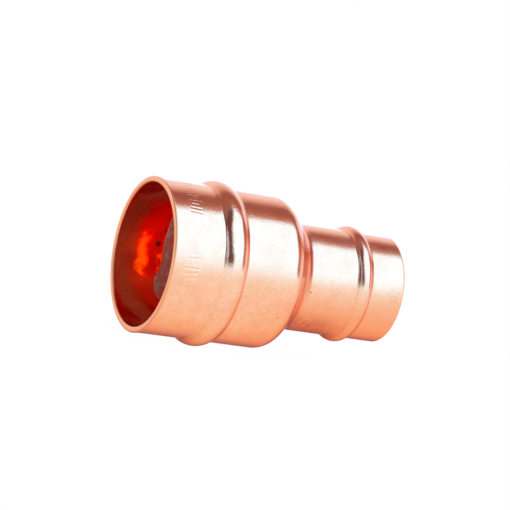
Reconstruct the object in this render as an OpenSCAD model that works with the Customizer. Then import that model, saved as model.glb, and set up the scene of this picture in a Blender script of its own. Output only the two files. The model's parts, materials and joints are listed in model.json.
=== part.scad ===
// Solder-ring reducing coupling for 22 mm to 15 mm copper tube.
// The axis lies along X. The large socket opens toward -X, the small socket toward +X.
// The origin is on the axis, midway between the two mouths, and +Z is up.

/* [Sockets] */
// Bore of the large socket, which takes a 22 mm tube
large_bore_d = 22.12; // [22.07:0.01:22.18]
// Bore of the small socket, which takes a 15 mm tube
small_bore_d = 15.10; // [15.07:0.01:15.15]
// Wall of the drawn copper tube, the same at both ends
wall = 0.78; // [0.6:0.01:0.9]
// Rounding of both edges of the wall at each mouth
mouth_edge_r = 0.20; // [0.05:0.01:0.28]

/* [Lengths] */
// Overall length from mouth to mouth
length = 41.0; // [40:0.5:48]
// Depth of the large socket, from its mouth to the start of the shoulder
large_depth = 19.7; // [18:0.1:20]

/* [Shoulder] */
// Outside radius of the shoulder's rounded corner
corner_r = 3.0; // [1.5:0.1:3.4]
// Outside radius of the hollow fillet that leads into the small socket
fillet_r = 2.5; // [1:0.1:3]
// Slope of the cone between them, measured from the axis
slope = 50; // [40:1:60]

/* [Beads] */
// Height of the large socket's bead over the tube
large_bead_h = 0.90; // [0.7:0.01:1]
// Outside radius of the arc across the large bead
large_bead_arc_r = 2.6; // [2.2:0.1:3]
// Distance from the large mouth to the middle of its bead
large_bead_at = 10.1; // [8:0.1:13]
// Height of the small socket's bead over the tube
small_bead_h = 0.79; // [0.6:0.01:0.85]
// Outside radius of the arc across the small bead
small_bead_arc_r = 1.4; // [1.3:0.1:1.8]
// Distance from the small mouth to the middle of its bead
small_bead_at = 7.0; // [5:0.1:9]
// Outside radius of the hollow at each foot of a bead
bead_foot_r = 0.4; // [0.2:0.1:0.8]

/* [Solder rings] */
// Space between a ring and the bottom of its groove
ring_gap = 0.05; // [0.02:0.01:0.1]
// How far a ring's inner face sits back from the bore
ring_recess = 0.03; // [0.02:0.01:0.04]
// Gap where the two ends of a ring's wire meet
ring_split = 0.6; // [0.2:0.1:1.5]

/* [Hidden] */
$fn = 128;

large_r = large_bore_d / 2 + wall;
small_r = small_bore_d / 2 + wall;
large_bead_z = large_bead_at;
small_bead_z = length - small_bead_at;

// The shoulder's corner, cone and fillet run into one another without a crease.
bend_r = corner_r + fillet_r;
cone_length = (large_r - small_r - bend_r * (1 - cos(slope))) / sin(slope);
neck_z = large_depth + bend_r * sin(slope) + cone_length * cos(slope);
corner_centre = [large_r - corner_r, large_depth];
fillet_centre = [small_r + fillet_r, neck_z];
across_cone = [cos(slope), sin(slope)];

// Sections below are drawn with the radius along X and the distance from the large mouth along Y.

// Region inside the tube's surface, which lies inset below the outside, with no beads.
module tube_inside(inset, from_z, to_z) {
    difference() {
        union() {
            polygon([
                [0, from_z],
                [large_r - inset, from_z],
                [large_r - inset, large_depth],
                corner_centre + (corner_r - inset) * across_cone,
                fillet_centre - (fillet_r + inset) * across_cone,
                [small_r - inset, neck_z],
                [small_r - inset, to_z],
                [0, to_z]
            ]);
            translate(corner_centre) circle(r = corner_r - inset);
        }
        translate(fillet_centre) circle(r = fillet_r + inset);
    }
}

// Distance from the middle of a bead to the outer end of its foot.
function foot_z(bead_h, arc_r) = sqrt(bead_h * (2 * (arc_r + bead_foot_r) - bead_h));

// Centre of the arc across a bead on a tube of radius tube_r.
function arc_centre(tube_r, bead_h, arc_r) = [tube_r + bead_h - arc_r, 0];

// Region that a bead adds to tube_inside, with the bead's middle at Y = 0.
module bead_inside(tube_r, bead_h, arc_r, inset) {
    centre = arc_centre(tube_r, bead_h, arc_r);
    foot = [tube_r + bead_foot_r, foot_z(bead_h, arc_r)];
    meet = centre + (foot - centre) * (arc_r - inset) / (arc_r + bead_foot_r);
    difference() {
        union() {
            polygon([
                [0, -foot[1]],
                [tube_r - inset, -foot[1]],
                [meet[0], -meet[1]],
                meet,
                [tube_r - inset, foot[1]],
                [0, foot[1]]
            ]);
            translate(centre) circle(r = arc_r - inset);
        }
        for (side = [-1, 1])
            translate([foot[0], side * foot[1]]) circle(r = bead_foot_r + inset);
    }
}

// Region inside the whole body's surface, beads included.
module body_inside(inset, from_z, to_z) {
    tube_inside(inset, from_z, to_z);
    translate([0, large_bead_z]) bead_inside(large_r, large_bead_h, large_bead_arc_r, inset);
    translate([0, small_bead_z]) bead_inside(small_r, small_bead_h, small_bead_arc_r, inset);
}

// Last stretch of wall at a mouth, with both of its edges rounded. It ends at Y = 0.
module mouth_edge(tube_r) {
    translate([tube_r - wall + mouth_edge_r, 0]) square([wall - 2 * mouth_edge_r, 2 * mouth_edge_r]);
    for (r = [tube_r - wall + mouth_edge_r, tube_r - mouth_edge_r])
        translate([r, mouth_edge_r]) circle(r = mouth_edge_r);
}

// Turns a section about the tube's axis and lays the axis along X.
module on_axis() {
    translate([-length / 2, 0, 0]) rotate([0, 90, 0]) children();
}

module reducer_body() {
    color("#e8a07a") on_axis() rotate_extrude() {
        difference() {
            body_inside(0, mouth_edge_r, length - mouth_edge_r);
            body_inside(wall, 0, length);
        }
        mouth_edge(large_r);
        translate([0, length]) mirror([0, 1]) mouth_edge(small_r);
    }
}

// Ring of solder wire pressed into a bead's groove. Its ends meet underneath.
module solder_ring(tube_r, bead_h, arc_r, bead_z) {
    centre = arc_centre(tube_r, bead_h, arc_r);
    inner_r = tube_r - wall + ring_recess;
    split_angle = 2 * asin(ring_split / 2 / inner_r);
    on_axis() rotate([0, 0, split_angle / 2]) rotate_extrude(angle = 360 - split_angle)
        translate([0, bead_z]) intersection() {
            translate(centre) circle(r = arc_r - wall - ring_gap);
            translate([inner_r, -arc_r]) square([arc_r, 2 * arc_r]);
        }
}

module large_solder_ring() {
    color("#8f8a86") solder_ring(large_r, large_bead_h, large_bead_arc_r, large_bead_z);
}

module small_solder_ring() {
    color("#8f8a86") solder_ring(small_r, small_bead_h, small_bead_arc_r, small_bead_z);
}

reducer_body();
large_solder_ring();
small_solder_ring();
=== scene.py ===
"""Solder-ring reducing coupling in drawn copper: the visual model, its materials and a plain studio.

Lengths are in millimetres and angles in degrees. Meshes are scaled to metres as they are made. A place on
the tube is x, the distance from the large mouth; r, the distance from the axis; and an angle round the axis,
which is 0 on the side that faces -Y and 90 on top. The row's origin is on the axis, midway between mouths.
"""

import json

import bpy
import numpy as np
from mathutils import Matrix, Vector, noise


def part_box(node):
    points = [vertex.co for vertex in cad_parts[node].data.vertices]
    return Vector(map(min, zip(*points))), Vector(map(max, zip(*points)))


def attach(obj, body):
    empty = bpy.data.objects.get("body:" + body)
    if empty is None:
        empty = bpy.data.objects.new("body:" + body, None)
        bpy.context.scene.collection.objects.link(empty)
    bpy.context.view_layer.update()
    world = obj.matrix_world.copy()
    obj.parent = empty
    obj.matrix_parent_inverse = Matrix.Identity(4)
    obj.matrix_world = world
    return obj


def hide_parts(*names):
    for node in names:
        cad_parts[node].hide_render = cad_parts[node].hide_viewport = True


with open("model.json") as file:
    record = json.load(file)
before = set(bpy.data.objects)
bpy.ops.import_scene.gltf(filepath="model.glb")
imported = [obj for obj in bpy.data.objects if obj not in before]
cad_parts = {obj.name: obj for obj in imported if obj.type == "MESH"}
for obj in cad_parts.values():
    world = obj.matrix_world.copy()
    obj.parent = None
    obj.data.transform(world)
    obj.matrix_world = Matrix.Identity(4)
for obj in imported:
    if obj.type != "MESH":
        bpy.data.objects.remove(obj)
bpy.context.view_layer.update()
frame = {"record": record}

MM = 0.001
SEED = 7

# ---------------------------------------------------------------- sizes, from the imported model

MOUNTS = {mount["name"]: mount for mount in frame["record"]["mounts"]}
LENGTH = (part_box("reducer_body")[1].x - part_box("reducer_body")[0].x) / MM
CREST_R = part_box("reducer_body")[1].z / MM
LARGE_BORE = MOUNTS["large_socket"]["dims"]["r_mm"]
SMALL_BORE = MOUNTS["small_socket"]["dims"]["r_mm"]
WALL = 0.78
LARGE_R = LARGE_BORE + WALL
SMALL_R = SMALL_BORE + WALL
MOUTH_EDGE_R = 0.20

SHOULDER_AT = 19.7
CORNER_R = 3.0
FILLET_R = 2.5
SLOPE = 50.0
BEND_R = CORNER_R + FILLET_R
SIN_SLOPE = np.sin(np.radians(SLOPE))
COS_SLOPE = np.cos(np.radians(SLOPE))
CONE_LENGTH = (LARGE_R - SMALL_R - BEND_R * (1 - COS_SLOPE)) / SIN_SLOPE
NECK_AT = SHOULDER_AT + BEND_R * SIN_SLOPE + CONE_LENGTH * COS_SLOPE


class Bead:
    """A rolled bead: an arc over the tube, with a hollow foot on each side."""

    foot_r = 0.4

    def __init__(self, tube_r, ring_node, height, arc_r):
        low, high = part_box(ring_node)
        reach = arc_r + self.foot_r
        self.tube_r = tube_r
        self.at = (low.x + high.x) / 2 / MM + LENGTH / 2
        self.arc_r = arc_r
        self.arc_centre_r = tube_r + height - arc_r
        self.foot_at = np.sqrt(height * (2 * reach - height))
        self.turn = np.degrees(np.arcsin(self.foot_at / reach))


LARGE_BEAD = Bead(LARGE_R, "large_solder_ring", height=CREST_R - LARGE_R, arc_r=2.6)
SMALL_BEAD = Bead(SMALL_R, "small_solder_ring", height=0.79, arc_r=1.4)

# Stretch of the large socket that holds the stamped marks, along the axis.
MARKS_FROM = 1.4
MARKS_TO = 5.6


# ---------------------------------------------------------------- outline of the wall

def arc(centre, radius, start, end, step):
    """Points (x, r) along an arc, from one angle to another, about step apart."""
    count = max(2, int(np.ceil(radius * np.radians(abs(end - start)) / step)) + 1)
    angles = np.radians(np.linspace(start, end, count))
    return [(centre[0] + radius * np.cos(a), centre[1] + radius * np.sin(a)) for a in angles]


def straight(start, end, step):
    """Points between two points of the outline, about step apart, both ends left out."""
    start, end = np.array(start), np.array(end)
    count = max(1, int(round(np.linalg.norm(end - start) / step)))
    return [tuple(start + (end - start) * i / count) for i in range(1, count)]


def join(stretches):
    """One chain through stretches of points. Each has the spacing of the straight line that leads to it."""
    chain = list(stretches[0][0])
    for points, step in stretches[1:]:
        chain += straight(chain[-1], points[0], step)
        chain += points
    return chain


def bead_arcs(bead, inset, step):
    """The foot, crest and foot of a bead, inset below the outside of the wall."""
    foot_r = bead.foot_r + inset
    left = (bead.at - bead.foot_at, bead.tube_r + bead.foot_r)
    right = (bead.at + bead.foot_at, bead.tube_r + bead.foot_r)
    crest = (bead.at, bead.arc_centre_r)
    up = arc(left, foot_r, -90, -90 + bead.turn, step)
    over = arc(crest, bead.arc_r - inset, 90 + bead.turn, 90 - bead.turn, step)
    down = arc(right, foot_r, -90 - bead.turn, -90, step)
    return up + over[1:-1] + down


def skin(inset, marks_step, plain_step, arc_step):
    """The surface of the wall from the large mouth to the small one, inset below the outside."""
    large_r, small_r = LARGE_R - inset, SMALL_R - inset
    corner = arc((SHOULDER_AT, LARGE_R - CORNER_R), CORNER_R - inset, 90, 90 - SLOPE, arc_step * 2)
    fillet = arc((NECK_AT, SMALL_R + FILLET_R), FILLET_R + inset, -90 - SLOPE, -90, arc_step * 2)
    return join([
        ([(MOUTH_EDGE_R, large_r)], None),
        ([(MARKS_FROM, large_r)], plain_step),
        ([(MARKS_TO, large_r)], marks_step),
        (bead_arcs(LARGE_BEAD, inset, arc_step), plain_step),
        (corner, plain_step),
        (fillet, plain_step),
        (bead_arcs(SMALL_BEAD, inset, arc_step), plain_step),
        ([(LENGTH - MOUTH_EDGE_R, small_r)], plain_step),
    ])


def mouth_edge(tube_r, at, side, arc_step=0.05, face_step=0.1):
    """The rounded end of the wall at a mouth, from outside to inside. side is -1 at the large mouth."""
    edge_r = MOUTH_EDGE_R
    facing = 90 - 90 * side
    outer = arc((at - side * edge_r, tube_r - edge_r), edge_r, 90, facing, arc_step)
    inner = arc((at - side * edge_r, tube_r - WALL + edge_r), edge_r, facing, facing - 90 * side, arc_step)
    return join([(outer, None), (inner, face_step)])


def wall_outline():
    """The closed outline of the wall in order, and whether each point is on the inside."""
    outside = skin(inset=0, marks_step=0.1, plain_step=0.55, arc_step=0.11)
    inside = skin(inset=WALL, marks_step=0.7, plain_step=0.8, arc_step=0.16)
    small_end = mouth_edge(SMALL_R, LENGTH, 1)
    large_end = mouth_edge(LARGE_R, 0, -1)[::-1]
    loop = outside + small_end[1:-1] + inside[::-1] + large_end[1:-1]
    is_inside = np.zeros(len(loop), dtype=bool)
    is_inside[len(outside) + len(small_end) // 2:len(loop) - len(large_end) // 2] = True
    return np.array(loop), is_inside


# ---------------------------------------------------------------- meshes

def smooth_noise(points, size, seed):
    """A smooth random value from about -1 to 1 at each point, changing over the given distance."""
    shift = Vector((seed * 17.3, seed * 5.1, seed * 9.7))
    return np.array([noise.noise(Vector(p) / size + shift) for p in points])


def ease(t):
    """A smooth step from 0 to 1."""
    t = np.clip(t, 0, 1)
    return t * t * (3 - 2 * t)


def hump(away, width, power=2):
    """A smooth hump of height 1 over a middle line, from the distance to it."""
    return np.exp(-((away / width) ** power))


def on_tube(x, r, angle):
    """Row-frame points in millimetres from places on the tube."""
    a = np.radians(angle)
    return np.stack([x - LENGTH / 2, -r * np.cos(a), r * np.sin(a)], axis=-1)


def closed_mesh(name, points):
    """A smooth-shaded closed mesh from a grid of points: round a section, then round the tube."""
    rows, columns = points.shape[:2]
    index = np.arange(rows * columns).reshape(rows, columns)
    i, j = np.meshgrid(np.arange(rows), np.arange(columns), indexing="ij")
    i2, j2 = (i + 1) % rows, (j + 1) % columns
    quads = np.stack([index[i, j], index[i2, j], index[i2, j2], index[i, j2]], axis=-1).reshape(-1, 4)
    mesh = bpy.data.meshes.new(name)
    mesh.from_pydata((points.reshape(-1, 3) * MM).tolist(), [], quads.tolist())
    mesh.update()
    mesh.shade_smooth()
    piece = bpy.data.objects.new(name, mesh)
    bpy.context.scene.collection.objects.link(piece)
    face_outward(mesh)
    return piece


def face_outward(mesh):
    """Turns the faces of a closed mesh so that they all face outward."""
    corners = np.empty(len(mesh.vertices) * 3)
    mesh.vertices.foreach_get("co", corners)
    mesh.calc_loop_triangles()
    triangles = np.empty(len(mesh.loop_triangles) * 3, dtype=np.int32)
    mesh.loop_triangles.foreach_get("vertices", triangles)
    a, b, c = (corners.reshape(-1, 3)[triangles.reshape(-1, 3)[:, k]] for k in range(3))
    volume = np.einsum("ij,ij->i", a, np.cross(b, c)).sum()
    if volume < 0:
        mesh.flip_normals()


def add_weight(piece, name, values):
    """A number on every vertex, for a material to read."""
    layer = piece.data.attributes.new(name, "FLOAT", "POINT")
    layer.data.foreach_set("value", np.asarray(values, dtype=np.float32).ravel())


# Stamped marks: a row of plain straight ticks round the large socket, long and short. They spell nothing.
MARKS_FIRST = -30.0
MARKS_LAST = 82.0
MARK_PITCH = 3.6
MARK_HALF_LENGTHS = [0.0, 0.5, 0.9, 1.1]
MARK_DEPTH = 0.022
MARK_WIDTH = 0.13
# How far a mark may be shifted along the axis, and each of its ends round the tube.
MARK_JITTER = 0.1
BURR_HEIGHT = 0.4 * MARK_DEPTH
BURR_AWAY = 1.9 * MARK_WIDTH
# Middle of the first mark along the axis, and how much farther along the last one is.
MARK_ROW_AT = 2.8
MARK_ROW_DRIFT = 1.4


def mark_strokes():
    """Each stroke as two ends, in millimetres along the axis and round the tube."""
    rng = np.random.default_rng(SEED)
    strokes = []
    for angle in np.arange(MARKS_FIRST, MARKS_LAST, MARK_PITCH):
        round_at = np.radians(angle) * LARGE_R
        share = (angle - MARKS_FIRST) / (MARKS_LAST - MARKS_FIRST)
        middle = MARK_ROW_AT + MARK_ROW_DRIFT * share + rng.uniform(-MARK_JITTER, MARK_JITTER)
        half = rng.choice(MARK_HALF_LENGTHS)
        lean = rng.uniform(-MARK_JITTER, MARK_JITTER)
        if half > 0:
            strokes.append(((middle - half, round_at - lean), (middle + half, round_at + lean)))
    return strokes


def distance_to_stroke(x, s, stroke):
    """Distance from points to a stroke, on the unrolled tube."""
    (x0, s0), (x1, s1) = stroke
    dx, ds = x1 - x0, s1 - s0
    t = np.clip(((x - x0) * dx + (s - s0) * ds) / (dx * dx + ds * ds), 0, 1)
    return np.hypot(x - x0 - t * dx, s - s0 - t * ds)


def mark_relief(x, angle):
    """How far the surface moves out at the marks: down in each stroke, with a raised burr beside it."""
    s = np.radians(angle) * LARGE_R
    relief = np.zeros(x.shape)
    for stroke in mark_strokes():
        away = distance_to_stroke(x, s, stroke)
        relief -= MARK_DEPTH * hump(away, MARK_WIDTH)
        relief += BURR_HEIGHT * hump(away - BURR_AWAY, MARK_WIDTH)
    return relief * (x < LARGE_BEAD.at - LARGE_BEAD.foot_at)


FINE_STEP = 0.45
FINE_BEYOND_MARKS = 4
COARSE_COUNT = 74


def tube_angles():
    """Angles of the body's columns: close together over the marks, wider elsewhere."""
    first = MARKS_FIRST - FINE_BEYOND_MARKS
    last = MARKS_LAST + FINE_BEYOND_MARKS
    fine = np.arange(first, last, FINE_STEP)
    coarse = np.linspace(last, first + 360, COARSE_COUNT)
    return np.concatenate([fine, coarse[:-1]])


# The large mouth flares a little and is out of round, widest at this angle and across from it.
FLARE = 0.03
FLARE_LENGTH = 2.5
OUT_OF_ROUND = 0.035
WIDEST_AT = 70
# Cutting the tube has thickened the rim, outward and inward, and inward most on the -Y side.
RIM_LENGTH = 0.7
RIM_OUTWARD = 0.05
RIM_INWARD = 0.09
RIM_INWARD_IN_FRONT = 0.06


def mouth_shape(x, angle, is_inside):
    """How far the wall moves out at the large mouth, with its flare and its cut rim."""
    flare = FLARE + OUT_OF_ROUND * np.cos(np.radians(2 * (angle - WIDEST_AT)))
    inward = RIM_INWARD + RIM_INWARD_IN_FRONT * np.cos(np.radians(angle))
    thicker = np.where(is_inside, -inward, RIM_OUTWARD)
    return (1 - ease(x / FLARE_LENGTH)) * flare + (1 - ease(x / RIM_LENGTH)) * thicker


WAVE_HEIGHT = 0.02
WAVE_SIZE = 5.0
# The waves are smooth noise on a plain tube of this radius, at one column in four, and then blurred.
WAVE_R = 12
WAVE_EVERY = 4
WAVE_BLUR = 4


def slow_waves(x, angle):
    """How far slow waves from drawing and handling move the wall out. Both sides of the wall share them."""
    coarse = on_tube(x[:, ::WAVE_EVERY], WAVE_R, angle[:, ::WAVE_EVERY])
    waves = smooth_noise(coarse.reshape(-1, 3), WAVE_SIZE, SEED).reshape(len(x), -1)
    waves = np.repeat(waves, WAVE_EVERY, axis=1)[:, :x.shape[1]]
    width = 2 * WAVE_BLUR + 1

    def blur(row):
        closed = np.concatenate([row[-WAVE_BLUR:], row, row[:WAVE_BLUR]])
        return np.convolve(closed, np.ones(width) / width, "valid")

    return WAVE_HEIGHT * np.apply_along_axis(blur, 1, waves)


RIDGE_HEIGHT = 0.02
RIDGE_WIDTH = 0.1
RIDGE_BEFORE_FOOT = 0.12


def bead_ridges(x):
    """The fine ridge that the roller leaves just in front of each bead."""
    places = [bead.at - bead.foot_at - RIDGE_BEFORE_FOOT for bead in (LARGE_BEAD, SMALL_BEAD)]
    return sum(RIDGE_HEIGHT * hump(x - place, RIDGE_WIDTH) for place in places)


def make_body():
    outline, is_inside = wall_outline()
    angles = tube_angles()
    everywhere = np.ones((len(outline), len(angles)))
    x = outline[:, :1] * everywhere
    r = outline[:, 1:] * everywhere
    angle = angles * everywhere
    is_inside = is_inside[:, None] & (everywhere > 0)

    r += mouth_shape(x, angle, is_inside)
    r += slow_waves(x, angle)
    r += ~is_inside * (mark_relief(x, angle) + bead_ridges(x))

    body = closed_mesh("copper_body", on_tube(x, r, angle))
    add_weight(body, "inside", is_inside)
    return body


# Gap where the two ends of a ring's wire meet.
RING_SPLIT = 0.6
# Space between a ring and the bottom of its groove.
RING_GAP = 0.05
# The middle of a ring sits this far outside the bore, and its edges stand this far inside it, as a film.
RING_RECESS = 0.03
FILM_HEIGHT = 0.025
# A ring starts to thin to that film at this share of its groove's half-width, over this distance.
FILM_FROM = 0.8
FILM_RISE = 0.5
# Height and size of the lumps on the inner face, and of the large and small waves of a ragged edge.
LUMP = (0.012, 0.9)
RAGGED_LARGE = (0.12, 1.6)
RAGGED_SMALL = (0.06, 0.5)
# The right edge has the left one's waves, turned this many columns round the tube.
RAGGED_TURN = 140
# Least distance from the bore to the outer face, and least thickness.
OUTER_CLEAR = 0.01
RING_THINNEST = 0.004
RING_COLUMNS = 360
RING_ROWS = 41


def angle_from(angles, middle):
    """Angles measured from a middle one, from -180 to 180."""
    return (angles - middle + 180) % 360 - 180


def noise_of(points, height_and_size, seed):
    """Smooth noise of a given height and size at each point."""
    height, size = height_and_size
    return height * smooth_noise(points, size, seed)


def ring_edges(angles, bore, spread, blob):
    """How far a ring reaches from the middle of its groove, to the left and to the right."""
    blob_at, blob_width, blob_reach = blob
    edge = on_tube(np.zeros(len(angles)), bore, angles)
    ragged = noise_of(edge, RAGGED_LARGE, SEED + 1) + noise_of(edge, RAGGED_SMALL, SEED + 2)
    left = spread + ragged + blob_reach * hump(angle_from(angles, blob_at), blob_width, power=4)
    right = spread + np.roll(ragged, RAGGED_TURN)
    return left, right


def make_ring(name, bead, bore, spread, blob):
    """A ring of solder that fills a bead's groove and thins to a film at its ragged edges."""
    angles = np.linspace(0, 360, RING_COLUMNS + 1)[:-1]
    left, right = ring_edges(angles, bore, spread, blob)
    across = np.linspace(-1, 1, RING_ROWS)[:, None]
    offset = np.where(across < 0, across * left, across * right)
    angle = angles + 0 * offset

    groove_r = bead.arc_r - WALL - RING_GAP
    groove = bead.arc_centre_r + np.sqrt(np.maximum(groove_r ** 2 - offset ** 2, 0))
    outer = np.maximum(groove, bore + OUTER_CLEAR)
    near_edge = ease((np.abs(offset) - groove_r * FILM_FROM) / FILM_RISE)
    lumps = noise_of(on_tube(bead.at + offset, bore, angle).reshape(-1, 3), LUMP, SEED + 3)
    inner = bore + RING_RECESS - (RING_RECESS + FILM_HEIGHT) * near_edge + lumps.reshape(offset.shape)
    # The two ends of the ring's wire meet underneath, with a small gap between them.
    from_gap = np.radians(angle_from(angles, -90)) * bore
    inner += hump(from_gap, RING_SPLIT / 2, power=4) * (outer - inner)
    inner = np.minimum(inner, outer - RING_THINNEST)

    x = bead.at + np.concatenate([offset, offset[::-1]])
    r = np.concatenate([inner, outer[::-1]])
    return closed_mesh(name, on_tube(x, r, angles + 0 * x))


# ---------------------------------------------------------------- materials

class Nodes:
    """Short calls for building a node tree. A colour is three numbers or a socket."""

    def __init__(self, tree):
        self.tree = tree
        tree.nodes.clear()

    def add(self, kind, **settings):
        """A new node. Each setting is one of its inputs, or else one of its properties."""
        node = self.tree.nodes.new(kind)
        for key, value in settings.items():
            if key in node.inputs:
                self.feed(node.inputs[key], value)
            else:
                setattr(node, key, value)
        return node

    def feed(self, socket, value):
        if isinstance(value, bpy.types.NodeSocket):
            self.tree.links.new(value, socket)
        elif socket.type == "RGBA":
            socket.default_value = (*value, 1)
        else:
            socket.default_value = value

    def math(self, operation, *values):
        node = self.add("ShaderNodeMath", operation=operation)
        for socket, value in zip(node.inputs, values):
            self.feed(socket, value)
        return node.outputs[0]

    def times(self, first, *others):
        for other in others:
            first = self.math("MULTIPLY", first, other)
        return first

    def plus(self, first, *others):
        for other in others:
            first = self.math("ADD", first, other)
        return first

    def away(self, value, middle):
        """How far a value is from a middle one."""
        return self.math("ABSOLUTE", self.math("SUBTRACT", value, middle))

    def span(self, value, low, high, to_low=0.0, to_high=1.0, smooth=True):
        """A change from one number to another while a value goes from low to high."""
        node = self.add("ShaderNodeMapRange", interpolation_type="SMOOTHSTEP" if smooth else "LINEAR")
        for socket, v in zip(node.inputs, (value, low, high, to_low, to_high)):
            self.feed(socket, v)
        return node.outputs[0]

    def fade(self, value, low, high):
        """1 below low, 0 above high."""
        return self.span(value, low, high, 1.0, 0.0)

    def stretch(self, value, begins, full, fades, ends):
        """1 on a stretch of a value, with soft ends, and 0 elsewhere."""
        return self.times(self.span(value, begins, full), self.fade(value, fades, ends))

    def mix(self, factor, a, b):
        node = self.add("ShaderNodeMix", data_type="RGBA")
        for socket, value in zip((node.inputs[0], node.inputs[6], node.inputs[7]), (factor, a, b)):
            self.feed(socket, value)
        return node.outputs[2]

    def mix_shaders(self, factor, a, b):
        node = self.add("ShaderNodeMixShader")
        for socket, value in zip(node.inputs, (factor, a, b)):
            self.feed(socket, value)
        return node.outputs[0]

    def noise(self, vector, scale, detail=2.0, roughness=0.5):
        node = self.add("ShaderNodeTexNoise", Vector=vector, Scale=scale, Detail=detail, Roughness=roughness)
        return node.outputs["Fac"]

    def ramp(self, factor, stops):
        node = self.add("ShaderNodeValToRGB")
        self.feed(node.inputs[0], factor)
        elements = node.color_ramp.elements
        while len(elements) < len(stops):
            elements.new(1.0)
        for element, (place, colour) in zip(elements, stops):
            element.position = place
            element.color = (*colour, 1)
        return node.outputs[0]

    def split(self, vector):
        node = self.add("ShaderNodeSeparateXYZ", Vector=vector)
        return node.outputs


def material(name):
    made = bpy.data.materials.new(name)
    made.use_nodes = True
    return made, Nodes(made.node_tree)


def in_millimetres(n):
    """The place on the piece in millimetres from the row's origin."""
    scaled = n.add("ShaderNodeVectorMath", operation="SCALE", Scale=1 / MM)
    n.feed(scaled.inputs[0], n.add("ShaderNodeTexCoord").outputs["Object"])
    return scaled.outputs[0]


COPPER_SHADES = [(0.36, (0.92, 0.41, 0.23)), (0.50, (0.95, 0.45, 0.26)), (0.64, (0.96, 0.49, 0.29))]
# Painted shade: the redder copper of the underside, for the shaded floor that it reflects.
PAINTED_SHADE_BELOW = (0.95, 0.345, 0.165)
# Painted shade: dark red under the neck, for the shaded floor that it reflects.
NECK_PAINTED_SHADE = (0.60, 0.12, 0.055)
# Painted shade: darker red in the hollow between shoulder and neck, for the dark band that it reflects.
HOLLOW_PAINTED_SHADE = (0.85, 0.24, 0.12)
COPPER_WORN = (0.84, 0.24, 0.11)
COPPER_BLOTCH = (0.93, 0.33, 0.16)
COPPER_RIM = (1.0, 0.40, 0.18)
INNER_SHADES = [(0.36, (0.88, 0.28, 0.13)), (0.64, (0.95, 0.38, 0.20))]
# Painted light: the red of the glowing patch inside.
GLOW_PATCH_RED = (0.90, 0.07, 0.02)
SPOT_COLOUR = (0.24, 0.10, 0.03)
# Light of the glowing patch inside, from its rim to its core.
GLOW_SHADES = [
    (0.0, (0.11, 0.0, 0.0)),
    (0.4, (0.60, 0.0, 0.0)),
    (0.6, (0.70, 0.03, 0.0)),
    (1.0, (0.75, 0.08, 0.0)),
]

# Stretches of x, as where each begins, is full, starts to fade and ends: the painted shade under the neck
# next to the shoulder, and the painted shade in the hollow that leads into the small tube.
NECK_SHADE = (22.0, 24.5, 28.0, 35.0)
HOLLOW_SHADE = (23.9, 24.2, 24.7, 24.95)
# The same for the glowing patch and its core, which lie this far round the tube from its back, in radians.
GLOW_DEPTH = (2.6, 4.6, 8.0, 9.0)
CORE_DEPTH = (2.9, 4.5, 4.6, 6.6)
GLOW_TURN = 0.28
CORE_TURN = -0.08
EMBER_STRENGTH = 0.6
# The cut rims are matt up to the first distance from a mouth, and as the rest is past the second.
MATT_RIM = (0.15, 0.45)
# Height of the bump on each metal.
GRAIN_DEPTH = 0.03
SOLDER_DEPTH = 0.08

# Small dark spots: distance from the large mouth, radius, angle round the tube, and size of the spot.
SPOTS = [
    (7.15, LARGE_BORE, 173.7, 0.46),
    (7.15, LARGE_BORE, 165.5, 0.15),
    (7.70, LARGE_BORE, 161.5, 0.17),
    (25.05, SMALL_R, -10.1, 0.13),
    (19.2, LARGE_R, -29.5, 0.10),
]


def outer_colour(n, x, z, tone):
    """Pale pink copper, with shade painted in: redder below and darker red under the neck next to the
    shoulder, for the shaded floor that the metal reflects there, and a painted dark reflection in the
    hollow.
    """
    colour = n.ramp(tone, COPPER_SHADES)
    # Painted shade: redder underneath from x 12 to 25, where the metal reflects the shaded floor.
    below = n.times(n.span(x, 12.0, 25.0), n.span(z, -0.8, -5.0))
    colour = n.mix(below, colour, PAINTED_SHADE_BELOW)
    # Painted shade: dark red underneath the neck, next to the shoulder, where the metal reflects the floor
    # in the body's shadow.
    neck_shade = n.times(n.stretch(x, *NECK_SHADE), n.span(z, -3.8, -7.5))
    colour = n.mix(neck_shade, colour, NECK_PAINTED_SHADE)
    # Painted shade: darker red on the upper part of the hollow, for the dark band that the curved metal
    # reflects there.
    hollow = n.times(n.stretch(x, *HOLLOW_SHADE), n.span(z, -4.0, 0.0))
    return n.mix(hollow, colour, HOLLOW_PAINTED_SHADE)


def add_wear(n, at, x, z, colour):
    """Thin wandering scratches, reddish specks and cloudy blotches, mostly underneath."""
    wander = n.noise(at, scale=0.9, detail=3.0, roughness=0.6)
    broken = n.noise(at, scale=0.45, detail=1.0)
    vein = n.times(n.fade(n.away(wander, 0.5), 0.004, 0.014), n.span(broken, 0.50, 0.62))
    speck = n.span(n.noise(at, scale=3.1), 0.62, 0.70)
    worn = n.times(n.math("MAXIMUM", vein, speck), n.span(z, 4.0, -5.0), 0.7)
    colour = n.mix(worn, colour, COPPER_WORN)
    cloudy = n.noise(at, scale=1.0, detail=5.0, roughness=0.7)
    blotch = n.times(n.span(cloudy, 0.44, 0.66), n.span(z, 2.0, -4.0), n.span(x, 4.0, 14.0, 0.1, 0.5))
    return n.mix(blotch, colour, COPPER_BLOTCH)


def wobble(n, at, scale, reach):
    """A slow random shift, from about -reach / 2 to reach / 2."""
    return n.times(n.plus(n.noise(at, scale=scale), -0.5), reach)


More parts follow.
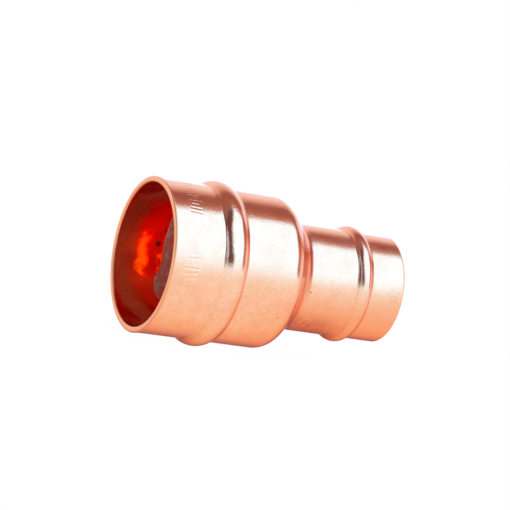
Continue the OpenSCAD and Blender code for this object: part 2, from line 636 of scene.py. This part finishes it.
def glowing_patch(n, at, x, y, z, inside):
    """Masks of the patch inside that glows with light reflected many times in the tube, and of its core."""
    # How deep a place lies in the large mouth, and how far round it is from the tube's back, both unevenly.
    depth = n.plus(x, wobble(n, at, 0.6, 3.0))
    turn = n.plus(n.math("ARCTAN2", z, y), wobble(n, at, 0.8, 0.6))
    patch = n.times(n.stretch(depth, *GLOW_DEPTH), n.fade(n.away(turn, GLOW_TURN), 0.30, 0.85))
    scattered = n.span(n.noise(at, scale=1.5, detail=1.0), 0.52, 0.60)
    embers = n.times(n.span(x, 6.8, 7.6), scattered, EMBER_STRENGTH)
    core = n.math("MAXIMUM", n.stretch(depth, *CORE_DEPTH), embers)
    core = n.times(core, n.fade(n.away(turn, CORE_TURN), 0.06, 0.42))
    return n.times(patch, inside), n.times(core, inside)


def dark_spots(n, at):
    """1 on the small dark spots."""
    spots = 0.0
    for x, r, angle, size in SPOTS:
        away = n.add("ShaderNodeVectorMath", operation="DISTANCE")
        n.feed(away.inputs[0], at)
        n.feed(away.inputs[1], tuple(on_tube(x, r, angle)))
        spots = n.math("MAXIMUM", spots, n.fade(away.outputs["Value"], size * 0.7, size * 1.3))
    return spots


def copper_grain(n, at):
    """Orange-peel, fine grain and lines round the tube, as a bump."""
    squeezed = n.add("ShaderNodeMapping", Vector=at, Scale=(9.0, 0.5, 0.5)).outputs[0]
    lines = n.noise(squeezed, scale=1.0, detail=3.0, roughness=0.6)
    peel = n.noise(at, scale=1.9, detail=3.0, roughness=0.55)
    grain = n.noise(at, scale=4.5)
    relief = n.plus(peel, n.times(grain, 0.4), n.times(lines, 0.25))
    return n.add("ShaderNodeBump", Height=relief, Strength=0.5, Distance=GRAIN_DEPTH * MM).outputs[0]


def copper_material():
    """Bright drawn copper: cloudy colour, soft polish, fine grain, matt cut rims and a few scratches, with
    shade painted in below and in the hollow, and a painted glow inside.
    """
    made, n = material("drawn_copper")
    at = in_millimetres(n)
    middle_x, y, z = n.split(at)
    x = n.plus(middle_x, LENGTH / 2)
    inside = n.add("ShaderNodeAttribute", attribute_name="inside").outputs["Fac"]

    cloud = n.noise(at, scale=0.32, detail=4.0, roughness=0.6)
    fleck = n.noise(at, scale=2.2, detail=3.0, roughness=0.6)
    tone = n.plus(n.times(cloud, 0.65), n.times(fleck, 0.35))
    patch, core = glowing_patch(n, at, x, y, z, inside)
    spots = dark_spots(n, at)
    from_end = n.math("MINIMUM", x, n.math("SUBTRACT", LENGTH, x))
    rim = n.fade(from_end, *MATT_RIM)

    outer = add_wear(n, at, x, z, outer_colour(n, x, z, tone))
    # Painted light: the patch inside turns red, for light reflected many times in the tube.
    inner = n.mix(patch, n.ramp(tone, INNER_SHADES), GLOW_PATCH_RED)
    colour = n.mix(inside, outer, inner)
    colour = n.mix(spots, colour, SPOT_COLOUR)
    colour = n.mix(rim, colour, COPPER_RIM)
    rough = n.plus(n.span(cloud, 0.3, 0.7, 0.09, 0.15), n.span(x, 21.0, 25.0, 0.0, 0.06), n.times(rim, 0.25))

    # Only the camera sees the glow, so it lights nothing.
    seen = n.add("ShaderNodeLightPath").outputs["Is Camera Ray"]
    glow = n.times(n.math("MAXIMUM", core, patch), n.math("SUBTRACT", 1.0, spots), seen)
    shader = n.add("ShaderNodeBsdfPrincipled", **{
        "Base Color": colour,
        "Metallic": 1.0,
        "Roughness": rough,
        "Normal": copper_grain(n, at),
        "Emission Color": n.ramp(core, GLOW_SHADES),
        "Emission Strength": glow,
    })
    n.add("ShaderNodeOutputMaterial", Surface=shader.outputs[0])
    return made


SOLDER_SHADES = [(0.41, (0.88, 0.19, 0.10)), (0.51, (0.66, 0.32, 0.22)), (0.64, (0.76, 0.52, 0.41))]


def solder_material():
    """Dull grey-brown tin solder, mottled and slightly lumpy."""
    made, n = material("tin_solder")
    at = in_millimetres(n)
    cloud = n.noise(at, scale=0.85, detail=4.0, roughness=0.65)
    lumps = n.noise(at, scale=2.5, detail=4.0, roughness=0.6)
    bump = n.add("ShaderNodeBump", Height=lumps, Strength=0.6, Distance=SOLDER_DEPTH * MM)
    shader = n.add("ShaderNodeBsdfPrincipled", **{
        "Base Color": n.ramp(cloud, SOLDER_SHADES),
        "Metallic": 0.3,
        "Roughness": 0.5,
        "Normal": bump.outputs[0],
    })
    n.add("ShaderNodeOutputMaterial", Surface=shader.outputs[0])
    return made


WHITE = (1.0, 1.0, 1.0)
PAPER = (0.9, 0.9, 0.9)
# Strength of the floor's even light, and its share of what the floor shows.
FLOOR_LIGHT = 1.03
FLOOR_LIGHT_SHARE = 0.94


def floor_material():
    """Pale matt paper. A large share of even light keeps the shadow on it faint."""
    made, n = material("pale_floor")
    paper = n.add("ShaderNodeBsdfDiffuse", Color=PAPER)
    light = n.add("ShaderNodeEmission", Color=WHITE, Strength=FLOOR_LIGHT)
    both = n.mix_shaders(FLOOR_LIGHT_SHARE, paper.outputs[0], light.outputs[0])
    n.add("ShaderNodeOutputMaterial", Surface=both)
    return made


# ---------------------------------------------------------------- studio

# What the metal reflects, by angle round the tube's axis: 0 is the side of the camera, 90 is overhead.
AROUND = [
    (-180, (1.02, 1.10, 1.20)),
    (-172, (1.02, 1.10, 1.20)),
    (-165, (0.50, 0.22, 0.18)),
    (-154, (0.42, 0.16, 0.13)),
    (-140, (0.72, 0.35, 0.26)),
    (-126, (0.94, 0.60, 0.45)),
    (-107, (1.02, 0.85, 0.66)),
    (-87, (1.03, 1.07, 1.02)),
    (-50, (1.03, 1.18, 1.27)),
    (-27, (1.03, 1.27, 1.42)),
    (-16, (1.03, 1.34, 1.58)),
    (-6, (1.03, 1.50, 1.95)),
    (4, (1.04, 1.92, 2.9)),
    (13, (1.05, 2.1, 3.4)),
    (24, (1.06, 2.2, 3.7)),
    (83, (1.06, 2.2, 3.7)),
    (91, (0.60, 0.42, 0.44)),
    (99, (0.43, 0.23, 0.23)),
    (108, (0.37, 0.18, 0.20)),
    (118, (0.37, 0.18, 0.20)),
    (129, (0.80, 0.64, 0.65)),
    (140, (0.98, 1.00, 1.14)),
    (158, (1.00, 1.04, 1.18)),
    (166, (1.04, 1.50, 2.10)),
    (174, (1.04, 1.50, 2.10)),
    (180, (1.02, 1.10, 1.20)),
]
# A colour ramp holds values up to 1, so the colours are divided by this and the light is multiplied by it.
BRIGHTEST = 4.0
# The large soft light is on the side of the camera, from level to overhead, and its ends are curved. They
# are given as the x of a direction. Past them the room is dark, with a narrow second light farther to the
# left, and straight to the right the room is pale again.
LIGHT_LEFT_X = -0.38
LIGHT_RIGHT_X = 0.79
SECOND_LIGHT_X = -0.80
# How far the left end curves in at its bottom and top, and the right one at its top, and how soft each is.
LEFT_CURVE_BELOW = 0.20
LEFT_CURVE_ABOVE = 0.42
RIGHT_CURVE_ABOVE = 0.10
LEFT_SOFT = 0.16
RIGHT_SOFT = 0.05
DARK_LEFT = (0.17, 0.11, 0.12)
DARK_RIGHT = (0.50, 0.19, 0.16)
FAR_RIGHT = (0.74, 0.36, 0.31)
PALE_RIGHT = (1.00, 1.16, 1.50)
END_RIGHT = (1.00, 1.06, 1.22)


def studio_zones(n, x, around):
    """Each zone of the studio as its mask and its colour. A later zone covers an earlier one."""

    def turn(low, high, to_low=0.0, to_high=1.0):
        return n.span(around, np.radians(low), np.radians(high), to_low, to_high)

    below = turn(14, 34, LIGHT_LEFT_X + LEFT_CURVE_BELOW, LIGHT_LEFT_X)
    left_edge = n.plus(below, turn(56, 84, 0.0, LEFT_CURVE_ABOVE))
    right_edge = turn(45, 75, LIGHT_RIGHT_X, LIGHT_RIGHT_X - RIGHT_CURVE_ABOVE)
    past_left = n.fade(n.math("SUBTRACT", x, left_edge), -LEFT_SOFT, LEFT_SOFT)
    past_right = n.span(n.math("SUBTRACT", x, right_edge), -RIGHT_SOFT, RIGHT_SOFT)
    not_second = n.span(n.away(x, SECOND_LIGHT_X), 0.02, 0.07, 0.45, 1.0)
    above_floor = turn(-2, 14)
    before_back = turn(172, 176, 1.0, 0.0)
    return [
        (n.times(n.span(x, 0.68, 0.80), turn(92, 112), before_back), PALE_RIGHT),
        (n.times(past_left, not_second, above_floor, turn(82, 104, 1.0, 0.0)), DARK_LEFT),
        (n.times(past_right, above_floor, turn(95, 118, 1.0, 0.0)), DARK_RIGHT),
        (n.times(n.span(x, 0.85, 0.92), above_floor, before_back), FAR_RIGHT),
        (n.span(x, 0.92, 0.98), END_RIGHT),
    ]


def make_world():
    """The studio's light, as the metal reflects it. The camera sees plain white."""
    world = bpy.data.worlds.new("studio")
    bpy.context.scene.world = world
    world.use_nodes = True
    n = Nodes(world.node_tree)
    x, y, z = n.split(n.add("ShaderNodeTexCoord").outputs["Generated"])
    around = n.math("ARCTAN2", z, n.times(y, -1.0))

    def dimmed(colour):
        return tuple(v / BRIGHTEST for v in colour)

    place = n.span(around, -np.pi, np.pi, smooth=False)
    colour = n.ramp(place, [((angle + 180) / 360, dimmed(light)) for angle, light in AROUND])
    for mask, light in studio_zones(n, x, around):
        colour = n.mix(mask, colour, dimmed(light))
    studio = n.add("ShaderNodeBackground", Color=colour, Strength=BRIGHTEST)
    backdrop = n.add("ShaderNodeBackground", Color=WHITE)
    seen = n.add("ShaderNodeLightPath").outputs["Is Camera Ray"]
    n.add("ShaderNodeOutputWorld", Surface=n.mix_shaders(seen, studio.outputs[0], backdrop.outputs[0]))


FLOOR_HALF_M = 3.0


def make_floor():
    """A level floor under the part's lowest point. The metal doesn't reflect it."""
    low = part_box("reducer_body")[0].z
    sides = [(-1, -1), (1, -1), (1, 1), (-1, 1)]
    mesh = bpy.data.meshes.new("floor")
    mesh.from_pydata([(x * FLOOR_HALF_M, y * FLOOR_HALF_M, low) for x, y in sides], [], [(0, 1, 2, 3)])
    mesh.materials.append(floor_material())
    floor = bpy.data.objects.new("floor", mesh)
    bpy.context.scene.collection.objects.link(floor)
    floor.visible_glossy = False


# Where the camera stands and the point it looks at, in millimetres from the row's origin, and its roll.
CAMERA_AT = Vector((-164.415, -330.926, 21.74))
CAMERA_TARGET = Vector((-1.462, 0.8562, 2.3667))
CAMERA_ROLL = 10.1795
CAMERA_LENS = 169.4


def make_camera():
    data = bpy.data.cameras.new("camera")
    data.sensor_width = 36
    data.lens = CAMERA_LENS
    data.clip_start = 0.01
    camera = bpy.data.objects.new("camera", data)
    bpy.context.scene.collection.objects.link(camera)
    look = (CAMERA_TARGET - CAMERA_AT).to_track_quat("-Z", "Y").to_matrix().to_4x4()
    roll = Matrix.Rotation(np.radians(CAMERA_ROLL), 4, "Z")
    camera.matrix_world = Matrix.Translation(CAMERA_AT * MM) @ look @ roll
    bpy.context.scene.camera = camera


# ---------------------------------------------------------------- put together

def put_in_place(piece, node, made):
    """Gives a piece its material, fixes it to the part and lets it stand for a CAD node."""
    piece.data.materials.append(made)
    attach(piece, "root")
    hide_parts(node)


put_in_place(make_body(), "reducer_body", copper_material())

# Each ring: its piece, CAD node, bead, bore and half-width, and the blob where it has spread toward the
# large mouth: the blob's middle and half-width round the tube, and its reach.
RINGS = [
    ("solder_ring_large", "large_solder_ring", LARGE_BEAD, LARGE_BORE, 1.95, (-152.0, 12.0, 1.0)),
    ("solder_ring_small", "small_solder_ring", SMALL_BEAD, SMALL_BORE, 0.95, (40.0, 14.0, 0.3)),
]
solder = solder_material()
for name, node, bead, bore, spread, blob in RINGS:
    put_in_place(make_ring(name, bead, bore, spread, blob), node, solder)

make_floor()
make_world()
make_camera()
bpy.context.scene.view_settings.view_transform = "Standard"
bpy.context.scene.cycles.glossy_bounces = 12
